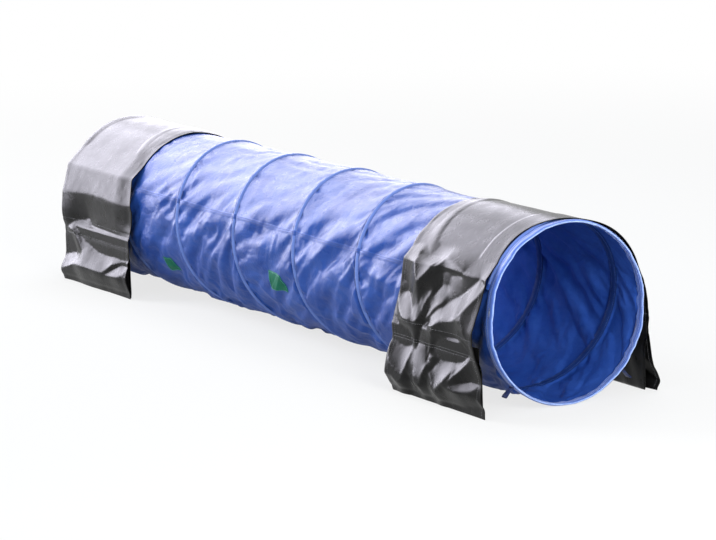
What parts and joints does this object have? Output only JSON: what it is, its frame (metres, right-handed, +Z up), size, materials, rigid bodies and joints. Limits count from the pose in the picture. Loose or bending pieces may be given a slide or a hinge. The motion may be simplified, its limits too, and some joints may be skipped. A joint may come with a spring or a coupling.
{
  "type": "dog agility tunnel",
  "caption": "Collapsible spiral-sprung fabric tube open at both mouths, held down by a tarpaulin ballast saddle with sand pockets near each mouth.",
  "frame": {"origin": "on the ground under the middle of the tube", "axes": "+X along the tube towards the near mouth, +Z up, -Y the side the picture is taken from"},
  "size_m": [3, 0.683, 0.6055],
  "materials": {
    "tunnel_fabric": "semi-gloss polyurethane-coated nylon",
    "hem_fabric": "coated nylon, folded and stitched",
    "casing_tape": "woven tape",
    "seam_tape": "coated nylon, felled and stitched",
    "spring_wire": "plastic-coated spring steel",
    "crimp_sleeve": "plain",
    "wire_cap": "matt",
    "webbing": "woven",
    "patch": "plain sewn patch",
    "tarpaulin": "glossy PVC-coated tarpaulin",
    "sand_bag": "sand in a woven bag",
    "hook_and_loop": "pile"
  },
  "bodies": {
    "tunnel": {"top_panel": "tunnel_fabric", "bottom_panel": "tunnel_fabric", "near_seam_tape": "seam_tape", "far_seam_tape": "seam_tape", "casing_tape_1": "casing_tape", "casing_tape_2": "casing_tape", "casing_tape_3": "casing_tape", "casing_tape_4": "casing_tape", "casing_tape_5": "casing_tape", "casing_tape_6": "casing_tape", "casing_tape_7": "casing_tape", "spiral_wire": "spring_wire", "front_patch": "patch", "rear_patch": "patch", "front_hem": "hem_fabric", "front_ring": "spring_wire", "front_ring_sleeve": "crimp_sleeve", "front_near_peg_tab": "webbing", "front_far_peg_tab": "webbing", "front_wire_cap": "wire_cap"},
    "rear_mouth": {"rear_hem": "hem_fabric", "rear_ring": "spring_wire", "rear_ring_sleeve": "crimp_sleeve", "rear_near_peg_tab": "webbing", "rear_far_peg_tab": "webbing", "rear_wire_cap": "wire_cap"},
    "front_saddle": {"front_saddle_sheet": "tarpaulin", "front_saddle_near_pocket": "tarpaulin", "front_saddle_near_sand_bag": "sand_bag", "front_saddle_near_loop_strip": "hook_and_loop", "front_saddle_near_hook_strip": "hook_and_loop", "front_saddle_far_pocket": "tarpaulin", "front_saddle_far_sand_bag": "sand_bag", "front_saddle_far_loop_strip": "hook_and_loop", "front_saddle_far_hook_strip": "hook_and_loop"},
    "rear_saddle": {"rear_saddle_sheet": "tarpaulin", "rear_saddle_near_pocket": "tarpaulin", "rear_saddle_near_sand_bag": "sand_bag", "rear_saddle_near_loop_strip": "hook_and_loop", "rear_saddle_near_hook_strip": "hook_and_loop", "rear_saddle_far_pocket": "tarpaulin", "rear_saddle_far_sand_bag": "sand_bag", "rear_saddle_far_loop_strip": "hook_and_loop", "rear_saddle_far_hook_strip": "hook_and_loop"}
  },
  "joints": [
    {"name": "spiral_collapse", "type": "slide", "parent": "tunnel", "child": "rear_mouth", "axis": [1, 0, 0], "range_m": [0, 2.88], "stiffness_N_per_m": 10, "deforming": ["spiral_wire", "casing_tape_1", "casing_tape_2", "casing_tape_3", "casing_tape_4", "casing_tape_5", "casing_tape_6", "casing_tape_7", "top_panel", "bottom_panel", "near_seam_tape", "far_seam_tape", "front_patch", "rear_patch"]},
    {"name": "front_saddle_lift", "type": "slide", "parent": "tunnel", "child": "front_saddle", "axis": [0, 0, 1], "range_m": [0, 0.75]},
    {"name": "rear_saddle_lift", "type": "slide", "parent": "tunnel", "child": "rear_saddle", "axis": [0, 0, 1], "range_m": [0, 0.75]}
  ]
}
